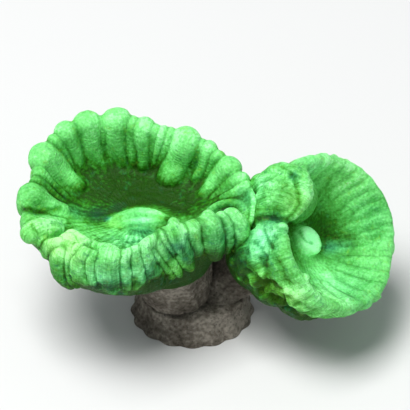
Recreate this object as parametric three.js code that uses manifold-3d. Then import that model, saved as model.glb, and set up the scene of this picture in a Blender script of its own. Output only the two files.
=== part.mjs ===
// A trumpet coral with two fleshy heads on a short forked skeleton, cut flat at the base.
// The left head stands upright, and the right one leans away to the right and forward. A fold of flesh
// fills the saddle between them, as when one head has just parted in two.
// Millimetres, +Z up, +X from the upright head to the leaning one, -Y towards the viewer.
// The origin is the middle of the cut at the foot of the stalk.

import * as THREE from "three";
import { mergeVertices } from "three/addons/utils/BufferGeometryUtils.js";
import Module from "manifold-3d";

const wasm = await Module();
wasm.setup();

const point = (x, y, z) => new THREE.Vector3(x, y, z);
const radians = THREE.MathUtils.degToRad;
const UP = point(0, 0, 1);

// Driving dimensions
const GAP = 0.3; // between one piece and the next
const SLIVER = 0.02; // detail finer than this, left by a join or a cut, is closed up
const LEAN = point(0.632, -0.378, 0.676).normalize(); // the way the right head faces

// The skeleton: a stalk that is oval at its cut, and a ribbed branch from it to each head.
const STALK = { height: 2.4, foot: [4.9, 4.2], waist: [4.4, 3.6], top: [4.3, 3.4], ribs: 16 };
const RIB_HEIGHT = 0.07; // as a share of the radius
const LEFT_BRANCH = {
  path: [point(-1.3, 0, STALK.height + GAP), point(-1.5, 0.1, 4.2), point(-2.2, 0.2, 5.9)],
  radii: [2.8, 3.6],
  facing: UP,
  ribs: 12,
};
const RIGHT_BRANCH = {
  path: [point(2.2, 0.3, STALK.height + GAP), point(4.2, 1.7, 3.7), point(6.4, 1.1, 5.65)],
  radii: [2.1, 2.8],
  facing: LEAN,
  ribs: 10,
};

// The heads. Each has its own frame, with the foot of its mouth at the origin and its cup's axis along Z.
// rim: [angle in degrees, radius, height over the mouth], round the line where the wall is highest.
// lobes: [angle of the middle, half width in degrees, swell], round the rim.
// mouth: half length and half width of its mound, its height, and the angle of its slit.
// neck: where the flesh ends on its branch, given by radius, height and sideways shift.
const LEFT = {
  wall: 1,
  mouth: { half: [2.3, 1.25], height: 0.85, angle: 0 },
  neck: { radius: 3.8, height: -4.8, shift: point(2.2, 0.2, 0) },
  rim: [
    [-166, 8.0, 3.3],
    [-153, 8.0, 3.4],
    [-134, 8.1, 3.6],
    [-112, 7.6, 3.7],
    [-90, 6.5, 3.8],
    [-69, 5.2, 3.7],
    [-47, 5.4, 3.4],
    [-29, 6.2, 3.2],
    [-18, 7.5, 2.7],
    [-10, 8.6, 0.8],
    [-3, 8.8, 1.7],
    [8, 8.4, 2.4],
    [20, 7.6, 2.9],
    [38, 6.7, 3.6],
    [60, 6.0, 4.2],
    [82, 5.8, 4.7],
    [107, 6.7, 5.1],
    [139, 7.6, 4.8],
    [161, 8.1, 4.3],
  ],
  lobes: [
    [-175, 7, 1.0],
    [-165, 3.5, 0.55],
    [-155, 7, 0.95],
    [-143, 5, 0.7],
    [-134, 5, 0.95],
    [-127, 3, 0.5],
    [-120, 5, 0.9],
    [-112, 3, 0.6],
    [-103, 6, 1.0],
    [-94, 3.5, 0.65],
    [-87, 4, 0.75],
    [-78, 6, 1.0],
    [-69, 3.5, 0.6],
    [-61, 4, 0.65],
    [-52, 6, 1.0],
    [-42, 5, 0.75],
    [-30, 7, 1.05],
    [-17, 6, 0.9],
    [-1, 9, 0.45],
    [14, 5, 0.8],
    [24, 5.5, 1.0],
    [32, 3, 0.55],
    [38, 4.5, 0.8],
    [45, 3, 0.5],
    [55, 7, 1.1],
    [64, 3, 0.5],
    [70, 3, 0.55],
    [81, 7, 0.95],
    [92, 4.5, 0.7],
    [105, 8.5, 1.1],
    [115, 2.5, 0.45],
    [123, 6.5, 1.0],
    [135, 5.5, 0.8],
    [143, 3, 0.5],
    [154, 7.5, 1.15],
    [165, 4, 0.5],
    [172, 3, 0.45],
  ],
};
const RIGHT = {
  wall: 0.6,
  mouth: { half: [1.35, 0.95], height: 0.7, angle: -30 },
  neck: { radius: 2.9, height: -4, shift: point(0, 0, 0) },
  rim: [
    [-168, 4.2, 3.0],
    [-158, 5.2, 4.2],
    [-139, 5.7, 4.5],
    [-115, 5.8, 4.5],
    [-88, 5.9, 4.5],
    [-60, 5.7, 4.5],
    [-30, 5.5, 4.5],
    [0, 5.3, 4.5],
    [30, 5.3, 4.5],
    [60, 5.3, 4.5],
    [95, 5.4, 4.5],
    [125, 5.6, 4.6],
    [138, 5.0, 4.7],
    [148, 4.0, 4.8],
    [163, 3.9, 4.4],
    [178, 3.9, 3.4],
  ],
  lobes: [
    [-172, 8, 0.3],
    [-157, 7, 0.3],
    [-142, 8, 0.4],
    [-129, 6, 0.6],
    [-119, 4, 0.7],
    [-109, 5, 0.75],
    [-98, 5, 0.85],
    [-87, 5.5, 0.9],
    [-75, 5.5, 0.85],
    [-62, 6, 0.9],
    [-48, 6, 0.85],
    [-34, 7, 0.95],
    [-20, 5, 0.75],
    [-8, 6, 0.85],
    [7, 8, 1.0],
    [21, 5, 0.7],
    [32, 5, 0.8],
    [43, 5, 0.7],
    [53, 5, 0.8],
    [64, 5, 0.75],
    [75, 5.5, 0.85],
    [87, 6, 0.8],
    [99, 5.5, 0.85],
    [111, 6, 0.8],
    [124, 6, 0.8],
    [137, 6, 0.6],
    [151, 8, 0.4],
    [169, 9, 0.3],
  ],
};
const LEFT_MOUTH = point(-4.4, 0, 11);
const RIGHT_MOUTH = point(9.1, -0.5, 8.55);
const WIDE_LOBE = 6; // half width in degrees from which a lobe has a rounder section
const SHOULDER = 0.86; // how swollen such a lobe is halfway to its crease
const NECK_ROLL = { out: 0.5, up: 1.3 }; // the flesh rolls out this far over the end of its branch
const UNDERSIDE_SAG = 0.4; // how far the skin hangs between the neck and the wall

// Where the skin lies along one section of a head's wall, up its outside to the rim and down into the cup:
// [share of the rim's radius, added radius, share of its height, added height], in a crease and on a lobe.
// What is added is for a wall of full thickness.
const OUTER_SECTION = [
  { crease: [1, 0, 1, -4.1], lobe: [1, 0.6, 1, -4.4] },
  { crease: [1, 0.7, 1, -3.3], lobe: [1, 1.4, 1, -3.4] },
  { crease: [1, 1.0, 1, -2.3], lobe: [1, 1.7, 1, -2.2] },
  { crease: [1, 1.0, 0.95, -1.2], lobe: [1, 1.5, 1, -1.0] },
  { crease: [1, 0.7, 0.9, -0.3], lobe: [1, 0.9, 1, 0] },
  { crease: [1, 0.1, 0.92, 0], lobe: [0.98, 0, 1, 0.25] },
];
const INNER_SECTION = [
  { crease: [0.93, 0, 0.8, 0], lobe: [0.84, 0, 0.95, 0] },
  { crease: [0.82, 0, 0.55, 0], lobe: [0.69, 0, 0.72, 0] },
  { crease: [0.7, 0, 0.3, 0], lobe: [0.58, 0, 0.42, 0] },
  { crease: [0.57, 0, 0.13, 0], lobe: [0.53, 0, 0.17, 0] },
  { crease: [0.44, 0, 0.03, 0], lobe: [0.44, 0, 0.04, 0] },
];

// The mound of the mouth, from its foot to the lips: [share of its half sizes, share of its height].
const MOUTH_SECTION = [
  [1.25, 0.1],
  [1, 0.65],
  [0.65, 1],
  [0.3, 0.85],
];
const SLIT_HEIGHT = 0.5; // the bottom of the slit, as a share of the mound's height

// The fold of flesh between the heads, as overlapping lumps: middle, half sizes, and rise to the right.
const SADDLE = [
  { middle: point(5.4, -0.2, 8.2), half: point(3.2, 3.4, 4.3), rise: 0 },
  { middle: point(7.4, 0.9, 12.4), half: point(3.1, 2.2, 2.6), rise: 20 },
  { middle: point(6.9, -3.2, 8.6), half: point(2.8, 2.6, 4.1), rise: 0 },
  { middle: point(9.1, -5.0, 6.5), half: point(2.3, 1.5, 1.7), rise: 0 },
];

const FLESH = { color: 0x4fc44a, roughness: 0.35, metalness: 0 };
const BARE_SKELETON = { color: 0x6f6a5c, roughness: 0.9, metalness: 0 };

// A closed shape as a solid that can be joined and cut, and back to a shape.
function solidOf(geometry) {
  const bare = geometry.clone();
  bare.deleteAttribute("normal");
  bare.deleteAttribute("uv");
  const merged = mergeVertices(bare, 1e-3);
  const vertProperties = merged.attributes.position.array;
  const triVerts = new Uint32Array(merged.index.array);
  return new wasm.Manifold(new wasm.Mesh({ numProp: 3, vertProperties, triVerts }));
}

function shapeOf(solid) {
  const mesh = solid.getMesh();
  const geometry = new THREE.BufferGeometry();
  geometry.setAttribute("position", new THREE.BufferAttribute(mesh.vertProperties, 3));
  geometry.setIndex(new THREE.BufferAttribute(mesh.triVerts, 1));
  geometry.computeVertexNormals();
  return geometry;
}

// A closed skin through rings, from a first point up to a last one. Each ring gives its place at a column.
function skin(first, rings, last, columns) {
  const rows = rings.length + 2;
  const profile = Array.from({ length: rows }, (_, row) => new THREE.Vector2(row % (rows - 1) ? 1 : 0, row));
  const geometry = new THREE.LatheGeometry(profile, columns.length);
  const places = geometry.attributes.position;
  for (let i = 0; i < places.count; i++) {
    const row = i % rows;
    const column = columns[Math.floor(i / rows) % columns.length];
    const place = [() => first, ...rings, () => last][row](column);
    places.setXYZ(i, place.x, place.y, place.z);
  }
  geometry.computeVertexNormals();
  return geometry;
}

const polar = (angle, radius, height) =>
  point(radius * Math.cos(radians(angle)), radius * Math.sin(radians(angle)), height);

// A value at an angle, by a smooth closed curve through control rows that start with their angle.
function readRound(rows, angle, item) {
  const turned = (row, turns) => [row[0] + 360 * turns, ...row.slice(1)];
  const run = [
    ...rows.slice(-2).map((row) => turned(row, -1)),
    ...rows,
    ...rows.slice(0, 2).map((row) => turned(row, 1)),
  ];
  const i = run.findIndex((row, n) => n > 0 && row[0] <= angle && angle < run[n + 1][0]);
  const t = (angle - run[i][0]) / (run[i + 1][0] - run[i][0]);
  const [a, b, c, d] = run.slice(i - 1, i + 3).map((row) => row[item]);
  const bend = (2 * a - 5 * b + 4 * c - d) * t + (3 * b - a - 3 * c + d) * t * t;
  return b + (t / 2) * (c - a + bend);
}

// The columns of a head's skin: one in each crease and on each lobe, and two more on a wide lobe.
function columnsOf(lobes) {
  const columns = [];
  lobes.forEach(([middle, half, swell], i) => {
    const creaseTo = ([other, otherHalf], way) => {
      const apart = (way * (other - middle) + 360) % 360;
      return middle + (way * apart * half) / (half + otherHalf);
    };
    const start = creaseTo(lobes.at(i - 1), -1);
    const end = creaseTo(lobes[(i + 1) % lobes.length], 1);
    const shoulder = SHOULDER * swell;
    columns.push({ angle: start, swell: 0 });
    if (half >= WIDE_LOBE) columns.push({ angle: (start + middle) / 2, swell: shoulder });
    columns.push({ angle: middle, swell });
    if (half >= WIDE_LOBE) columns.push({ angle: (middle + end) / 2, swell: shoulder });
  });
  return columns;
}

// One head: the raised mouth with its slit, the floor of the cup, the lobed wall, and the neck under it.
// A brimful head has its cup filled up to the rim.
function headShape({ wall, mouth, neck, rim, lobes }, brimful = false) {
  const lip = ([share, rise]) => ({ angle }) => {
    const place = polar(angle - mouth.angle, share, rise * mouth.height);
    place.multiply(point(...mouth.half, 1));
    return place.applyAxisAngle(UP, radians(mouth.angle));
  };
  const wallRing = ({ crease, lobe }) => ({ angle, swell }) => {
    const radius = readRound(rim, angle, 1);
    const height = readRound(rim, angle, 2);
    const at = ([out, moreOut, up, moreUp]) =>
      polar(angle, out * radius + moreOut * wall, up * height + moreUp * wall);
    return at(crease).lerp(at(lobe), swell);
  };
  const neckRing = ({ out, up }) => ({ angle }) =>
    polar(angle, neck.radius + out, neck.height + up).add(neck.shift);
  const underside = (column) => {
    const place = wallRing(OUTER_SECTION[0])(column).lerp(neckRing(NECK_ROLL)(column), 0.5);
    place.z -= UNDERSIDE_SAG * wall;
    return place;
  };
  const end = neckRing({ out: 0, up: 0 });
  const outside = [end, neckRing(NECK_ROLL), underside, ...OUTER_SECTION.map(wallRing)];
  const inside = [...INNER_SECTION.map(wallRing), ...MOUTH_SECTION.map(lip)];
  const rings = brimful ? outside : [...outside, ...inside];
  const top = brimful ? rim[0][2] : SLIT_HEIGHT * mouth.height;
  return skin(point(0, 0, neck.height).add(neck.shift), rings, point(0, 0, top), columnsOf(lobes));
}

// Columns of a bare stretch of skeleton, with a low rib every few degrees.
function ribbedColumns(ribs) {
  const steps = [0, 0.6, 1, 0.6];
  return Array.from({ length: ribs * steps.length }, (_, i) => ({
    angle: (360 * i) / (ribs * steps.length),
    rib: 1 + RIB_HEIGHT * steps[i % steps.length],
  }));
}

// A branch of the skeleton, bending from the stalk's top to the way its head faces, or the room it takes up.
function branchShape({ path, radii, facing, ribs }, room = 0) {
  const foot = path[0].clone().addScaledVector(UP, -room);
  const top = path[2].clone().addScaledVector(facing, room);
  const line = new THREE.QuadraticBezierCurve3(foot, path[1], top);
  const rings = [0, 0.25, 0.5, 0.75, 1].map((share) => {
    const turn = new THREE.Quaternion().setFromUnitVectors(UP, UP.clone().lerp(facing, share).normalize());
    const radius = THREE.MathUtils.lerp(...radii, share) + room;
    return ({ angle, rib }) => polar(angle, radius * rib, 0).applyQuaternion(turn).add(line.getPoint(share));
  });
  return skin(foot, rings, top, ribbedColumns(ribs));
}

function stalkShape({ height, foot, waist, top, ribs }) {
  const ring = (half, z) => ({ angle, rib }) => polar(angle, rib, z).multiply(point(...half, 1));
  const rings = [ring(foot, 0), ring(waist, height / 2), ring(top, height)];
  return skin(point(0, 0, 0), rings, point(0, 0, height), ribbedColumns(ribs));
}

function lumpShape({ middle, half, rise }) {
  const lump = new THREE.SphereGeometry(1, 18, 12);
  lump.scale(...half).rotateY(-radians(rise)).translate(...middle);
  return lump;
}

const leftHead = headShape(LEFT).translate(...LEFT_MOUTH);
const rightTurn = new THREE.Quaternion().setFromUnitVectors(UP, LEAN);
const placeRight = (shape) => shape.applyQuaternion(rightTurn).translate(...RIGHT_MOUTH);

// The saddle is part of the right head. It starts inside that head's wall and stays out of both cups, and
// it ends a gap short of the left head and the branches. What the cuts leave loose is dropped.
const growth = GAP / LEFT.rim[0][1];
const filled = (head, scale) => headShape(head, true).scale(scale, scale, scale);
const leftRoom = filled(LEFT, 1 + growth).translate(...LEFT_MOUTH);
const saddle = SADDLE.map((lump) => solidOf(lumpShape(lump)))
  .reduce((whole, lump) => whole.add(lump))
  .subtract(solidOf(placeRight(filled(RIGHT, 1 - growth))));
const rightFlesh = [leftRoom, branchShape(LEFT_BRANCH, GAP), branchShape(RIGHT_BRANCH, GAP)]
  .map(solidOf)
  .reduce((flesh, room) => flesh.subtract(room), solidOf(placeRight(headShape(RIGHT))).add(saddle))
  .simplify(SLIVER)
  .decompose()
  .sort((one, other) => other.volume() - one.volume())[0];

// The left branch gives way to the right one in the crotch.
const leftBranch = solidOf(branchShape(LEFT_BRANCH)).subtract(solidOf(branchShape(RIGHT_BRANCH, GAP)));

const PIECES = {
  stalk: [stalkShape(STALK), BARE_SKELETON],
  left_branch: [shapeOf(leftBranch), BARE_SKELETON],
  right_branch: [branchShape(RIGHT_BRANCH), BARE_SKELETON],
  left_polyp: [leftHead, FLESH],
  right_polyp: [shapeOf(rightFlesh), FLESH],
};

const coral = new THREE.Group();
for (const [name, [shape, finish]] of Object.entries(PIECES)) {
  const piece = new THREE.Mesh(shape, new THREE.MeshStandardMaterial(finish));
  piece.name = name;
  coral.add(piece);
}

export default coral;
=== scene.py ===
import math

import bpy
import numpy as np
from mathutils import Matrix, Vector


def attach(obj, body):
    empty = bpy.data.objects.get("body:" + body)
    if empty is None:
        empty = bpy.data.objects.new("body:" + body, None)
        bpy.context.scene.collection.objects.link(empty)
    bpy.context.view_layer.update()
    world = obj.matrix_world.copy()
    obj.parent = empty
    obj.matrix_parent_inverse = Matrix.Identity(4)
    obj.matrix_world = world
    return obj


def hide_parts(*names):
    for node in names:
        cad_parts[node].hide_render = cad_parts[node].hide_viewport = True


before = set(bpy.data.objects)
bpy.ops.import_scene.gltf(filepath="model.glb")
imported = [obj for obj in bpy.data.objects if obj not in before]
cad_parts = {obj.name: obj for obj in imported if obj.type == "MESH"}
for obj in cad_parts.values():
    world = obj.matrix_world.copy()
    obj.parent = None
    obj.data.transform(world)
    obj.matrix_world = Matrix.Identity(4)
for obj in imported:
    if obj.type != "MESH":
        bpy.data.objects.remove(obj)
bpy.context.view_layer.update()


# LEFT HEAD
# The upright head's soft flesh: a bowl with a raised mouth, and fat finger-like lobes that hang over its rim
# on both sides. The bowl and the fingers are shaped one by one and then grown together into one skin, as
# flesh grows over the septa of the cup.

# Shapes are made in millimetres and scaled to metres at the end. The left head is measured from its mouth.
MM = 0.001
LEFT_MOUTH = Vector((-4.4, 0, 11))
SKIN_GRAIN = 0.125  # the size of the finest facet of the flesh

# The line of the rim: angle in degrees, radius, height over the mouth, the radius where the floor ends and
# the wall begins, how bowed the wall is, its half thickness, how far it ends below the fingers' tops, and how
# far it hangs down outside.
LEFT_RIM = [
    (-166, 8.6, 2.8, 3.6, 0.3, 0.4, 0.5, 2.8),
    (-155, 8.6, 2.4, 2.6, 0.1, 0.4, 0.5, 1.7),
    (-147, 8.3, 2.5, 2.2, 0.1, 0.4, 0.4, 2.2),
    (-136, 7.8, 3.4, 1.9, 0.1, 0.5, 0.25, 5.2),
    (-112, 7.6, 3.6, 1.7, 0.1, 0.55, 0.25, 4.9),
    (-90, 6.6, 3.7, 1.7, 0.2, 0.6, 0.25, 5.4),
    (-69, 5.2, 3.7, 1.9, 0.5, 0.6, 0.25, 5.0),
    (-47, 5.4, 3.5, 2.3, 0.5, 0.6, 0.25, 4.2),
    (-29, 6.2, 3.4, 3.0, 0.5, 0.6, 0.25, 3.6),
    (-18, 7.5, 2.6, 3.2, 0.3, 0.45, 0.3, 3.2),
    (-10, 8.7, 1.2, 3.0, 0.1, 0.35, 0.1, 2.4),
    (-3, 9.0, 1.7, 3.2, 0.1, 0.3, 0, 2.4),
    (8, 8.75, 2.5, 4.0, 0.3, 0.35, 0.1, 2.8),
    (20, 8.1, 3.1, 5.0, 0.7, 0.45, 0.4, 3.6),
    (38, 7.2, 3.95, 4.7, 0.9, 0.5, 0.5, 3.9),
    (60, 6.3, 4.5, 4.2, 0.9, 0.5, 0.45, 3.9),
    (82, 5.9, 4.9, 4.5, 0.9, 0.5, 0.45, 3.9),
    (107, 6.75, 5.2, 4.8, 0.9, 0.5, 0.5, 3.9),
    (124, 7.45, 5.2, 4.9, 0.9, 0.5, 0.5, 3.9),
    (140, 7.95, 4.95, 5.0, 0.8, 0.5, 0.5, 3.9),
    (153, 8.2, 4.3, 4.9, 0.7, 0.5, 0.5, 3.7),
    (168, 7.9, 3.8, 4.4, 0.6, 0.5, 0.5, 3.2),
    (182, 8.4, 3.25, 4.0, 0.4, 0.45, 0.5, 2.9),
]

# The fingers: angle, half width in degrees, thickness at the rim, share of the inner wall that they cover,
# share of their width at the inner end, length down the outside, and by how many degrees the inner end drifts
# sideways.
LEFT_FINGERS = [
    (-179.8, 6.3, 1.0, 0.78, 0.8, 2.6, 0),
    (-166, 4.2, 0.5, 0.6, 0.6, 2.2, 0),
    (9.5, 2.4, 0.42, 0.5, 0.6, 2.4, 0),
    (15, 3.8, 0.64, 0.72, 0.45, 2.6, 0),
    (24.5, 6, 0.85, 1.0, 0.85, 3.0, -2),
    (32.5, 2.8, 0.45, 0.6, 0.6, 3.0, 0),
    (38.5, 4.5, 0.62, 0.8, 0.5, 3.2, 0),
    (44.5, 2.8, 0.45, 0.6, 0.6, 3.2, 0),
    (54, 9.3, 1.05, 1.16, 1.22, 3.4, 4),
    (65, 3, 0.45, 0.8, 0.7, 3.4, 6),
    (71, 3.2, 0.48, 0.85, 0.7, 3.4, 5),
    (77, 3, 0.45, 0.75, 0.7, 3.4, 3),
    (85, 7.4, 0.92, 0.95, 0.65, 3.5, 1),
    (94.5, 5.4, 0.62, 0.9, 0.65, 3.5, 1),
    (105, 9.4, 1.12, 0.92, 0.25, 3.6, -2),
    (115, 2.6, 0.42, 0.5, 0.8, 3.6, 0),
    (123, 7.6, 0.95, 0.85, 0.2, 3.6, -3),
    (135.5, 6, 0.82, 0.7, 0.3, 3.5, 0),
    (143.5, 3, 0.48, 0.7, 0.5, 3.5, -2),
    (154, 7.6, 1.05, 1.0, 0.85, 3.4, -6),
    (165.5, 3.4, 0.5, 0.75, 0.5, 3.0, 0),
    (171.5, 2.6, 0.4, 0.7, 0.5, 2.8, 0),
]

# The lobes that hang down in front, from the lip to their lower ends: points with thickness and half width.
FRONT_LOBES = [
    [(-8.35, -3.8, 1.9, 0.9, 0.9), (-7.9, -3.6, 2.05, 0.9, 0.9), (-6.9, -3.2, 1.95, 0.8, 0.85),
     (-6.2, -2.85, 1.6, 0.55, 0.6)],
    [(-5.98, -5.49, 2.69, 0.45, 0.42), (-6.61, -5.17, 1.88, 0.5, 0.55), (-7.05, -4.86, 0.64, 0.48, 0.5)],
    [(-4.9, -4.75, 2.45, 0.35, 0.4), (-5.4, -5.3, 2.6, 0.55, 0.75), (-6.0, -5.75, 1.3, 0.75, 0.85),
     (-6.0, -5.75, -0.4, 0.75, 0.8), (-5.3, -5.85, -1.5, 0.65, 0.72)],
    [(-3.7, -5.9, 3.15, 0.33, 0.21), (-4.54, -6.61, 3.04, 0.38, 0.29), (-5.12, -6.44, 2.07, 0.4, 0.34),
     (-5.37, -6.28, 0.58, 0.4, 0.34), (-5.1, -6.35, -0.65, 0.42, 0.36), (-4.7, -6.4, -1.2, 0.42, 0.36)],
    [(-4.02, -6.96, 2.96, 0.48, 0.5), (-4.37, -6.86, 2.17, 0.55, 0.71), (-4.46, -6.86, 1.04, 0.55, 0.71),
     (-4.38, -6.87, 0.03, 0.54, 0.67)],
    [(-3.1, -7.3, 3.04, 0.41, 0.34), (-3.46, -7.35, 2.41, 0.45, 0.42), (-3.49, -7.41, 1.36, 0.45, 0.42),
     (-3.27, -7.45, 0.37, 0.43, 0.38)],
    [(-1.9, -6.6, 2.9, 0.5, 0.6), (-2.22, -7.3, 2.9, 0.74, 0.92), (-2.18, -7.44, 1.75, 0.75, 0.97),
     (-2.04, -7.43, 0.44, 0.74, 0.92), (-1.83, -7.2, -0.6, 0.68, 0.76)],
    [(-0.64, -7.16, 3.11, 0.41, 0.34), (-0.88, -7.36, 2.41, 0.48, 0.5), (-0.88, -7.43, 1.19, 0.5, 0.55),
     (-0.81, -7.38, -0.13, 0.48, 0.5)],
    [(0.03, -6.77, 3.15, 0.4, 0.34), (-0.06, -7.07, 2.58, 0.47, 0.5), (0.06, -7.1, 1.28, 0.5, 0.59),
     (0.11, -7.02, -0.29, 0.48, 0.55)],
    [(1.21, -5.8, 3.05, 0.56, 0.42), (0.67, -6.4, 2.85, 0.63, 0.59), (0.84, -6.37, 1.46, 0.67, 0.67),
     (1.24, -5.9, -0.1, 0.7, 0.76), (1.7, -5.55, -1.9, 0.6, 0.65)],
    [(1.23, -6.13, 2.48, 0.35, 0.21), (1.74, -5.68, 0.78, 0.4, 0.29), (2.31, -5.2, -0.6, 0.4, 0.29),
     (2.8, -4.9, -1.8, 0.4, 0.29)],
    [(1.65, -5.63, 2.75, 0.41, 0.29), (2.34, -5.21, 1.06, 0.45, 0.38), (2.9, -4.9, -0.4, 0.45, 0.38),
     (3.4, -4.7, -1.8, 0.43, 0.34)],
    [(2.08, -5.28, 3.0, 0.37, 0.25), (2.59, -5.09, 1.88, 0.4, 0.29), (2.93, -4.93, 0.86, 0.4, 0.29)],
    [(2.95, -3.95, 3.1, 0.55, 0.5), (3.05, -4.75, 2.8, 0.7, 0.71), (3.36, -4.6, 1.48, 0.7, 0.71),
     (3.8, -4.45, 0.05, 0.68, 0.67), (4.15, -4.2, -1.5, 0.55, 0.46)],
    [(4.33, -3.93, 2.88, 0.49, 0.38), (4.6, -4.15, 2.2, 0.55, 0.5), (4.75, -4.0, 1.0, 0.53, 0.46),
     (4.9, -3.75, -0.3, 0.47, 0.34)],
    [(5.65, -2.85, 2.85, 0.68, 0.5), (6.0, -3.3, 2.2, 0.82, 0.84), (6.1, -3.4, 0.8, 0.85, 0.92),
     (6.2, -3.2, -1.0, 0.75, 0.67)],
    [(6.7, -2.5, 2.5, 0.5, 0.4), (7.15, -2.8, 1.6, 0.6, 0.5), (7.35, -2.8, 0.2, 0.5, 0.42),
     (7.1, -2.7, -1.1, 0.5, 0.42)],
    [(7.5, -2.0, 2.2, 0.69, 0.59), (8.1, -2.25, 1.4, 0.8, 0.84), (8.35, -2.3, 0.1, 0.76, 0.76),
     (8.1, -2.2, -1.3, 0.69, 0.59)],
]
LEFT_NECK = {"radius": 3.8, "height": -4.8, "shift": (2.2, 0.2)}


def between(a, b, c, d, t):
    """The place at share t of the way from b to c, on a smooth curve that comes from a and goes on to d."""
    bend = (2 * a - 5 * b + 4 * c - d) * t + (3 * b - a - 3 * c + d) * t * t
    return b + t / 2 * (c - a + bend)


def around(rows, angle):
    """The values at each angle, by a smooth closed curve through rows that start with their angle."""
    table = np.array(rows, float)
    run = np.concatenate([table[-2:], table, table[:2]])
    run[:2, 0] -= 360
    run[-2:, 0] += 360
    angle = (np.asarray(angle, float) - run[1, 0]) % 360 + run[1, 0]
    i = np.clip(np.searchsorted(run[:, 0], angle, side="right") - 1, 1, len(run) - 3)
    t = ((angle - run[i, 0]) / (run[i + 1, 0] - run[i, 0]))[..., None]
    return between(*(run[i + k, 1:] for k in (-1, 0, 1, 2)), t)


WALL_ROWS = 9
ROLL_ROWS = 5
FLOOR_EDGE = 0.15  # the height of the floor where the wall begins
SKIRT = [(0.05, 0.38), (0, 0.7), (-0.6, 1)]  # what hangs down outside: how far out, and share of its length
UNDERSIDE = (0.3, 0.65)  # shares of the way from the skirt to the neck
UNDER_SAG = 0.35
CREST_OUT = 0.2  # how far the bowl's crest lies outside the line of the rim
NECK_FLARE = (0.5, 1.3)  # how far the flesh widens above the neck's end, and over what height


def bowl_section(rim, neck, angle):
    """One section through the bowl's skin from the mouth over the rim to the neck's end, as (radius, height)
    rows, and the row of the crest."""
    radius, height, floor, bow, half, sink, skirt = around(rim, angle)
    middle, top = radius + CREST_OUT, height - sink
    rise = np.linspace(0, 1, WALL_ROWS)
    quarter = rise * math.pi / 2
    out = (1 - bow) * rise + bow * np.sin(quarter)
    up = (1 - bow) * rise + bow * (1 - np.cos(quarter))
    inner = [
        (floor + (middle - half - floor) * o, FLOOR_EDGE + (top - half - FLOOR_EDGE) * u)
        for o, u in zip(out, up)
    ]
    roll = [
        (middle - half * math.cos(a), top - half + half * math.sin(a))
        for a in np.linspace(0, math.pi, ROLL_ROWS + 2)[1:-1]
    ]
    outer = [(middle + half + out, top - share * skirt) for out, share in SKIRT]
    end = (neck["radius"], neck["height"])
    foot = np.array(end) + NECK_FLARE
    under = [
        tuple((1 - s) * np.array(outer[-1]) + s * foot - (0, UNDER_SAG * math.sin(s * math.pi)))
        for s in UNDERSIDE
    ]
    mouth = [(0, 0), (floor * 0.6, 0.05)]
    rows = [*mouth, *inner, *roll, *outer, *under, tuple(foot), end, (0, neck["height"])]
    return np.array(rows), len(mouth) + len(inner) + ROLL_ROWS // 2


def places_and_ways(piece):
    """Where each vertex of a piece is, and which way its skin faces there."""
    both = []
    for what in ("co", "normal"):
        values = np.empty(len(piece.data.vertices) * 3, np.float32)
        piece.data.vertices.foreach_get(what, values)
        both.append(values.reshape(-1, 3).astype(float))
    return both


def put_at(piece, places):
    """Moves each vertex of a piece to its new place."""
    piece.data.vertices.foreach_set("co", places.astype(np.float32).ravel())
    piece.data.update()


def mould(name, segments, rings, place):
    """A closed skin: a sphere whose vertices are put at place(turn, fall), where turn goes round once and
    fall runs from 0 at the first pole to 1 at the last."""
    bpy.ops.object.select_all(action="DESELECT")
    bpy.ops.mesh.primitive_uv_sphere_add(segments=segments, ring_count=rings, radius=1)
    piece = bpy.context.object
    piece.name = name
    ball = places_and_ways(piece)[0]
    turn = np.arctan2(ball[:, 1], ball[:, 0]) / (2 * math.pi)
    fall = np.arccos(np.clip(ball[:, 2], -1, 1)) / math.pi
    put_at(piece, place(turn, fall))
    return piece


def spun(name, sections, slide):
    """A closed skin through sections at even angles round an axis, each of (radius, height) rows. Each row is
    also moved sideways by its slide."""
    count, rows = sections.shape[:2]
    ways = np.radians(np.arange(-180, 180, 360 / count))

    def place(turn, fall):
        column = np.round((turn + 0.5) * count).astype(int) % count
        row = np.round(fall * (rows - 1)).astype(int)
        radius, height = sections[column, row].T
        x = radius * np.cos(ways[column]) + slide[row, 0]
        y = radius * np.sin(ways[column]) + slide[row, 1]
        return np.stack([x, y, height], -1)

    return mould(name, count, rows - 1, place)


BOWL_STEP = 2.5  # degrees between the sections


def bowl(name, rim, neck):
    """The bowl of a head, with its floor, its plain wall, and its underside, which leads to a neck that may
    stand to one side of the mouth."""
    sections = np.array([bowl_section(rim, neck, angle)[0] for angle in np.arange(-180, 180, BOWL_STEP)])
    rows = sections.shape[1]
    foot_row = rows - 3
    slide = np.clip(1 - (foot_row - np.arange(rows)) / 4, 0, 1)[:, None] * neck["shift"]
    return spun(name, sections, slide)


FINGER_STEP = 0.28  # between the places of a finger's middle line


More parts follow.
